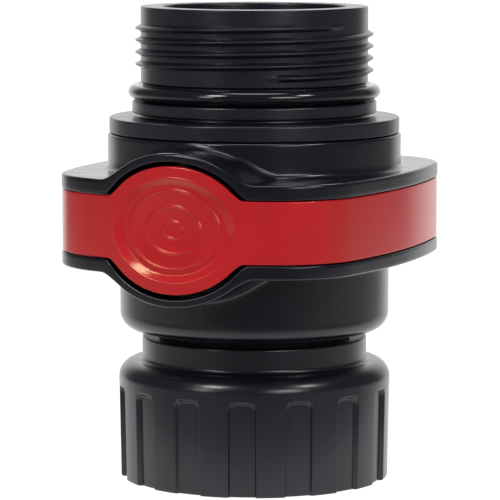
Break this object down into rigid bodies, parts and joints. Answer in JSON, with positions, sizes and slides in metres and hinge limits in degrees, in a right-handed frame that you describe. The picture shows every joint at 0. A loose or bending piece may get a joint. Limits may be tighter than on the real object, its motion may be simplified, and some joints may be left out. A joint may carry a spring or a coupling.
{
  "type": "seacock valve",
  "caption": "In-line shut-off valve with a male-threaded inlet, a red squeeze-release ring in an oval housing, an inner poppet and a fluted union nut.",
  "frame": {"origin": "centre of the union nut's bottom face, on the flow axis", "axes": "+Z along the flow axis, up to the threaded inlet; -Y towards the front press pad; X across the oval rims' short side"},
  "size_m": [0.0826, 0.0977, 0.1185],
  "materials": {
    "black_plastic": "satin",
    "adapter_plastic": "satin",
    "nut_plastic": "satin",
    "inner_plastic": "satin",
    "red_plastic": "semi-gloss",
    "rubber": "smooth",
    "steel": "stainless"
  },
  "bodies": {
    "housing": {"lower_housing": "black_plastic", "upper_housing": "black_plastic", "housing_gasket": "rubber", "housing_screws": "steel", "valve_seat": "inner_plastic", "seat_seal": "rubber", "stem_guide": "inner_plastic", "tail_pipe": "black_plastic", "tail_seal": "rubber", "hose_gasket": "rubber", "lock_spring": "steel", "ring_band_left": "red_plastic", "ring_band_right": "red_plastic", "poppet_spring": "steel"},
    "adapter": {"threaded_adapter": "adapter_plastic", "thread_o_ring": "rubber", "spigot_o_rings": "rubber", "pusher_spider": "inner_plastic"},
    "poppet_body": {"poppet": "inner_plastic", "poppet_seal": "rubber"},
    "front_pad": {"press_pad_front": "red_plastic"},
    "back_pad": {"press_pad_back": "red_plastic"},
    "nut": {"union_nut": "nut_plastic"}
  },
  "joints": [
    {"name": "adapter_lift", "type": "slide", "parent": "housing", "child": "adapter", "axis": [0, 0, 1], "range_m": [0, 0.032], "deforming": ["lock_spring"]},
    {"name": "poppet_slide", "type": "slide", "parent": "housing", "child": "poppet_body", "axis": [0, 0, 1], "range_m": [0, 0.0064], "deforming": ["poppet_spring"]},
    {"name": "front_pad_press", "type": "slide", "parent": "housing", "child": "front_pad", "axis": [0, 1, 0], "range_m": [0, 0.003], "stiffness_N_per_m": 3000, "deforming": ["lock_spring"]},
    {"name": "back_pad_press", "type": "slide", "parent": "housing", "child": "back_pad", "axis": [0, -1, 0], "range_m": [0, 0.003], "stiffness_N_per_m": 3000, "deforming": ["lock_spring"]},
    {"name": "nut_turn", "type": "hinge", "parent": "housing", "child": "nut", "pos_m": [0, 0, 0.02], "axis": [0, 0, 1], "continuous": true}
  ],
  "couplings": [
    {"joint": "poppet_slide", "follows": "adapter_lift", "ratio": 0.2}
  ]
}
